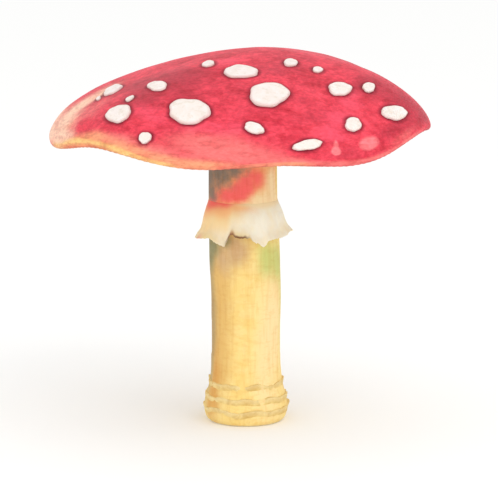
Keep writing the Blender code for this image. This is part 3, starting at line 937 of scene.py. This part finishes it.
ring = {
    "top": 0.0885,
    "outline": (  # share of the drop, radius
        (0.00, 0.0134), (0.10, 0.0138), (0.25, 0.0146), (0.45, 0.0155),
        (0.66, 0.0162), (0.83, 0.0172), (1.00, 0.0190)),
    "hem": (  # bearing in degrees, height: teeth and the tears between them
        (10, 0.0750), (32, 0.0736), (50, 0.0752), (72, 0.0729), (95, 0.0748), (118, 0.0733),
        (140, 0.0751), (162, 0.0740), (184, 0.0729), (206, 0.0738), (223, 0.0748), (236, 0.0732),
        (244, 0.0719), (255, 0.0770), (264, 0.0756), (276, 0.0757), (286, 0.0736), (294, 0.0720),
        (302, 0.0746), (326, 0.0750), (348, 0.0765)),
    "roots": (0.0004, 0.0008),  # how far the outer and inner faces start inside the stem
    "wall": 0.0007,
    "segments": 264,
    "rows": 34,
    "pleat": 0.00022,
    "pleats": 26,
    "pleatStray": ((2.2, 2.0),),
    "pleatGrowth": 1.5,  # above 1 keeps the pleats to the hem
    "sway": 0.0004,
    "swayFineness": 3.3,
    "tatter": 0.0005,
    "tatters": ((1, 22), (0.6, 41)),
    "tatterFrom": 0.75,  # share of the drop
    "mottle": (120.0, 0.5),
    "veins": (0.6, 1.0, 0.12),
    "bump": (0.0002, 0.6),
    "shader": {
        "Roughness": 0.8,
        "Specular IOR Level": 0.18,
        "Subsurface Weight": 0.12,
        "Subsurface Radius": (1.0, 0.8, 0.6),
        "Subsurface Scale": 0.0015,
        "Sheen Weight": 0.1,
        "Sheen Roughness": 0.5,
    },
    "colours": {
        "felt": (255, 242, 212),
        "pale": (255, 247, 228),
        "vein": (238, 204, 158),
    },
    # patches are (bearing in degrees, share of the drop, spread in degrees, spread in share, strength)
    "washes": {
        "peachFelt": {
            "colour": (255, 220, 162), "softness": 0.5, "fray": 0.5,
            "patches": (
                (200, 0.55, 48, 0.50, 1.0), (235, 0.30, 34, 0.30, 0.9), (120, 0.4, 50, 0.4, 0.8),
            )},
        "hemTint": {
            "colour": (252, 228, 168), "softness": 0.5, "fray": 0.8,
            "patches": (
                (215, 1.0, 24, 0.14, 0.7), (262, 0.98, 14, 0.16, 0.8), (90, 1.0, 90, 0.12, 0.7),
            )},
        # painted shade and reflected orange from the cap on the ring's top
        "ringCapOrangeShade": {
            "colour": (255, 190, 132), "softness": 0.5, "fray": 0.5,
            "patches": (
                (255, 0.02, 40, 0.24, 1.0), (222, 0.16, 34, 0.24, 1.0), (190, 0.2, 24, 0.3, 0.9),
                (80, 0.0, 90, 0.16, 0.8),
            )},
        "creamTop": {
            "colour": (254, 226, 180), "softness": 0.5, "fray": 0.5,
            "patches": (
                (305, 0.0, 44, 0.14, 1.0), (345, 0.0, 36, 0.16, 1.0),
            )},
        # painted reflection of the red cap on the ring's top
        "ringCapRedReflection": {
            "colour": (250, 106, 96), "softness": 0.5, "fray": 0.5,
            "patches": (
                (212, 0.0, 22, 0.20, 1.0), (238, 0.0, 20, 0.13, 0.9), (194, 0.10, 16, 0.18, 0.7),
            )},
        "tearShade": {
            "colour": (206, 160, 116), "softness": 0.4, "fray": 0.5,
            "patches": (
                (255, 1.0, 6, 0.14, 1.0),
            )},
        # painted shadow under the hem's edge at the front
        "hemShadowLine": {
            "colour": (128, 84, 58), "softness": 0.4, "fray": 0.8, "scale": 260.0,
            "patches": (
                (266, 1.0, 12, 0.07, 1.0), (250, 0.97, 6, 0.06, 0.6),
            )},
        "tipBlush": {
            "colour": (246, 172, 150), "softness": 0.5, "fray": 0.6,
            "patches": (
                (198, 1.0, 12, 0.12, 0.7),
            )},
    },
}


def hemHeight(bearing):
    degrees, hem = math.degrees(bearing) % 360, ring["hem"]
    before = max((point for point in hem if point[0] <= degrees), default=hem[-1])
    after = min((point for point in hem if point[0] > degrees), default=hem[0])
    share = (degrees - before[0]) % 360 / ((after[0] - before[0]) % 360)
    return before[1] + (after[1] - before[1]) * smoothStep(share, 0, 1)


def makeRing():
    outer = []
    for row in range(ring["rows"] + 1):
        share = row / ring["rows"]
        outer.append((readCurve(ring["outline"], share), -share))
    inner = [(radius - ring["wall"], height) for radius, height in reversed(outer)]
    outer[0], inner[-1] = ((stemRadius(ring["top"]) - root, 0) for root in ring["roots"])
    mesh = turnProfile(outer + inner, ring["segments"], closed=True)
    layWashes(mesh, ring["washes"], lambda point: (math.degrees(bearingOf(point)), -point.z))
    for vert in mesh.verts:
        bearing, share = bearingOf(vert.co), -vert.co.z
        outward = directionOf(bearing)
        pleat = math.cos(ring["pleats"] * bearing + ripples(ring["pleatStray"], outward))
        vert.co += outward * ring["pleat"] * pleat * share ** ring["pleatGrowth"]
        vert.co += outward * ring["sway"] * share * noise.noise(outward * ring["swayFineness"])
        tatter = ring["tatter"] * smoothStep(share, ring["tatterFrom"], 1)
        tatter *= ripples(ring["tatters"], outward)
        vert.co.z = ring["top"] - share * (ring["top"] - hemHeight(bearing)) + tatter
        vert.co.x += stemLean(vert.co.z)
    return mesh


def makeRingLook():
    look, tree, shader, colours, place = startLook("ringFelt", ring)
    mottle = addMottle(tree, place, *ring["mottle"])
    colour = mixColour(tree, mottle["Blotch"], colours["felt"], colours["pale"])
    vein = maskOf(tree, mottle["Streak"], *ring["veins"])
    colour = mixColour(tree, vein, colour, colours["vein"])
    colour = washOver(tree, colour, ring["washes"], place)
    endLook(tree, shader, colour, mottle["Streak"], *ring["bump"])
    return look


ringPiece = keepPiece("ringSkirt", makeRing(), makeRingLook(), ["ring_skirt"], 70)
print("ring:", len(ringPiece.data.polygons), "faces")


# belts: rows of felty scales round the swollen foot

belts = {
    "rows": (  # node, height, how far it stands out
        ("volva_belt_1", 0.0050, 0.0014),
        ("volva_belt_2", 0.0098, 0.0013),
        ("volva_belt_3", 0.0150, 0.0011)),
    "height": 0.0030,
    "segments": 200,
    "profileRows": 16,
    "backRows": 5,
    "sunk": 0.0003,  # how far the outer face starts inside the stem
    "backSunk": 0.0007,
    "bulge": 0.8,
    "freeEdge": 0.82,  # the upper edge stands free from this share of the height
    "shift": 2.1,  # keeps each belt's scales from standing in line with the next
    "scale": (1.5, 6.5),  # strength and fineness of the scales
    "slow": (1.0, 2.2),
    "crumb": (1.0, 520),
    "slowPush": 0.3,
    "crumbPush": 0.3,
    "furthest": 0.35,
    "inset": 0.25,
    "slowLift": 0.0012,
    "scaleLift": 0.0011,
    "crumbLift": 0.0004,
    "mottle": (200.0, 1.6),
    "paling": 0.6,
    "bump": (0.00015, 0.8),
    "shader": {
        "Roughness": 0.85,
        "Specular IOR Level": 0.15,
        "Subsurface Weight": 0.08,
        "Subsurface Radius": (1.0, 0.8, 0.5),
        "Subsurface Scale": 0.001,
    },
    "colours": {
        "felt": (250, 220, 146),
        "shade": (228, 188, 106),
        "pale": (254, 236, 188),
    },
}


def beltNoise(name, point, offset):
    strength, fineness = belts[name]
    return strength * noise.noise(point * fineness + offset)


def makeBelt(height, standOut, turn):
    profile = []
    for row in range(belts["profileRows"] + 1):
        share = row / belts["profileRows"]
        level = height + belts["height"] * (share - 0.5)
        bulge = share ** belts["bulge"] * (1 - smoothStep(share, belts["freeEdge"], 1.0))
        profile.append((stemRadius(level) - belts["sunk"] + bulge * standOut, level))
    for row in range(belts["backRows"], -1, -1):
        level = height + belts["height"] * (row / belts["backRows"] - 0.5)
        profile.append((stemRadius(level) - belts["backSunk"], level))
    mesh = turnProfile(profile, belts["segments"], closed=True)
    rise = mesh.verts.layers.float.new("rise")
    for vert in mesh.verts:
        outward = directionOf(bearingOf(vert.co))
        share = (radiusOf(vert.co) - stemRadius(vert.co.z)) / standOut
        share = min(max(share, 0), 1)
        scale = beltNoise("scale", outward, Vector((0, 0, turn)))
        slow = beltNoise("slow", outward, Vector((0, 0, turn)))
        crumb = beltNoise("crumb", vert.co, Vector((turn, 0, 0)))
        push = min(scale + belts["slowPush"] * slow, belts["furthest"])
        push = push + belts["crumbPush"] * crumb - belts["inset"]
        lift = belts["scaleLift"] * scale + belts["crumbLift"] * crumb
        vert[rise] = share
        vert.co += outward * standOut * share * push
        vert.co.z += belts["slowLift"] * slow + share * lift
    return mesh


def makeBeltLook():
    look, tree, shader, colours, place = startLook("beltFelt", belts)
    mottle = addMottle(tree, place, *belts["mottle"])
    colour = mixColour(tree, mottle["Blotch"], colours["felt"], colours["shade"])
    rise = addMath(tree, "MULTIPLY", readLayer(tree, "rise"), belts["paling"])
    colour = mixColour(tree, rise, colour, colours["pale"])
    endLook(tree, shader, colour, mottle["Grain"], *belts["bump"])
    return look


beltLook = makeBeltLook()
for number, (node, height, standOut) in enumerate(belts["rows"], 1):
    belt = makeBelt(height, standOut, belts["shift"] * number)
    keepPiece(f"footBelt{number}", belt, beltLook, [node])
print("belts:", len(belts["rows"]))


# studio: a white floor, an even white sky, one soft key light and the camera

studio = {
    "floorSize": 14.0,
    "shader": {"Roughness": 0.95, "Specular IOR Level": 0.0},
    "colours": {"floor": (252, 252, 251)},
    "sky": 1.0,
    "lamps": (  # name, power, size, place
        ("key", 2.9, 0.9, (0.55, -0.75, 0.95)),
        ("fill", 2.2, 1.0, (-0.35, -1.15, 0.25)),
    ),
    "lens": 200,
    "distance": 1.09075,
    "elevation": 10,
    "aim": (0.0012, 0, 0.0678),
}


def makeStudio():
    floorMesh = bmesh.new()
    bmesh.ops.create_grid(floorMesh, x_segments=4, y_segments=4, size=studio["floorSize"])
    data = bpy.data.meshes.new("floor")
    floorMesh.to_mesh(data)
    floorMesh.free()
    look, _, shader, colours, _ = startLook("floorPaper", studio)
    shader.inputs["Base Color"].default_value = colours["floor"]
    data.materials.append(look)
    floor = bpy.data.objects.new("floor", data)
    bpy.context.scene.collection.objects.link(floor)

    world = bpy.data.worlds.new("sky")
    world.use_nodes = True
    sky = world.node_tree.nodes["Background"].inputs
    sky["Color"].default_value = (1, 1, 1, 1)
    sky["Strength"].default_value = studio["sky"]
    bpy.context.scene.world = world

    for name, power, size, place in studio["lamps"]:
        lamp = bpy.data.lights.new(name, "AREA")
        lamp.energy = power
        lamp.size = size
        lampObject = bpy.data.objects.new(name, lamp)
        lampObject.location = place
        toAim = Vector(studio["aim"]) - lampObject.location
        lampObject.rotation_euler = toAim.to_track_quat("-Z", "Y").to_euler()
        bpy.context.scene.collection.objects.link(lampObject)


def makeCamera():
    lens = bpy.data.cameras.new("view")
    lens.lens = studio["lens"]
    camera = bpy.data.objects.new("view", lens)
    lift = math.radians(studio["elevation"])
    back = Vector((0, -math.cos(lift), math.sin(lift))) * studio["distance"]
    camera.location = Vector(studio["aim"]) + back
    camera.rotation_euler = (-back).to_track_quat("-Z", "Y").to_euler()
    bpy.context.scene.collection.objects.link(camera)
    bpy.context.scene.camera = camera


makeStudio()
makeCamera()
bpy.context.scene.view_settings.view_transform = "Standard"
print("studio ready")
